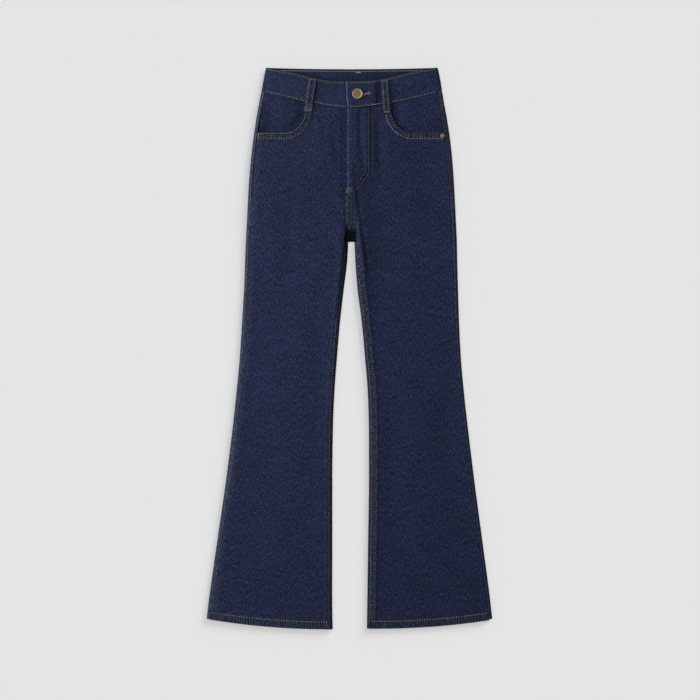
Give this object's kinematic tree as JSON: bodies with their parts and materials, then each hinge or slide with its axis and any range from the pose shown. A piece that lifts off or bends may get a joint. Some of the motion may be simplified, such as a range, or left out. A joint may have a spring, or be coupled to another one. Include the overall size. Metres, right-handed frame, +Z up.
{
  "type": "flared jeans",
  "caption": "High-rise flared jeans in dark indigo denim, laid flat front up, with scooped front pockets, a closed zip fly, belt loops and wide turned hems.",
  "frame": {"origin": "middle of the garment's outline, on the surface that it lies on", "axes": "+X towards the wearer's left, +Y towards the waist, +Z up from the surface, so the front of the jeans faces up"},
  "size_m": [0.5396, 1.059, 0.0131],
  "materials": {
    "denim": "dark indigo twill, matte, with pale flecks of weft",
    "thread": "golden brown topstitching thread",
    "zip_tape": "dark woven tape with closed metal teeth",
    "button_metal": "warm brown metal, satin, paler at the raised edges"
  },
  "bodies": {
    "root": {"front_right": "denim", "front_left": "denim", "pocket_facing_right": "denim", "pocket_facing_left": "denim", "back_right": "denim", "back_left": "denim", "yoke_right": "denim", "yoke_left": "denim", "back_pocket_right": "denim", "back_pocket_left": "denim", "waistband": "denim", "belt_loop_front_right": "denim", "belt_loop_front_left": "denim", "belt_loop_back_right": "denim", "belt_loop_back_centre": "denim", "belt_loop_back_left": "denim", "zip": "zip_tape", "button": "button_metal", "rivet_left": "button_metal"}
  },
  "joints": []
}
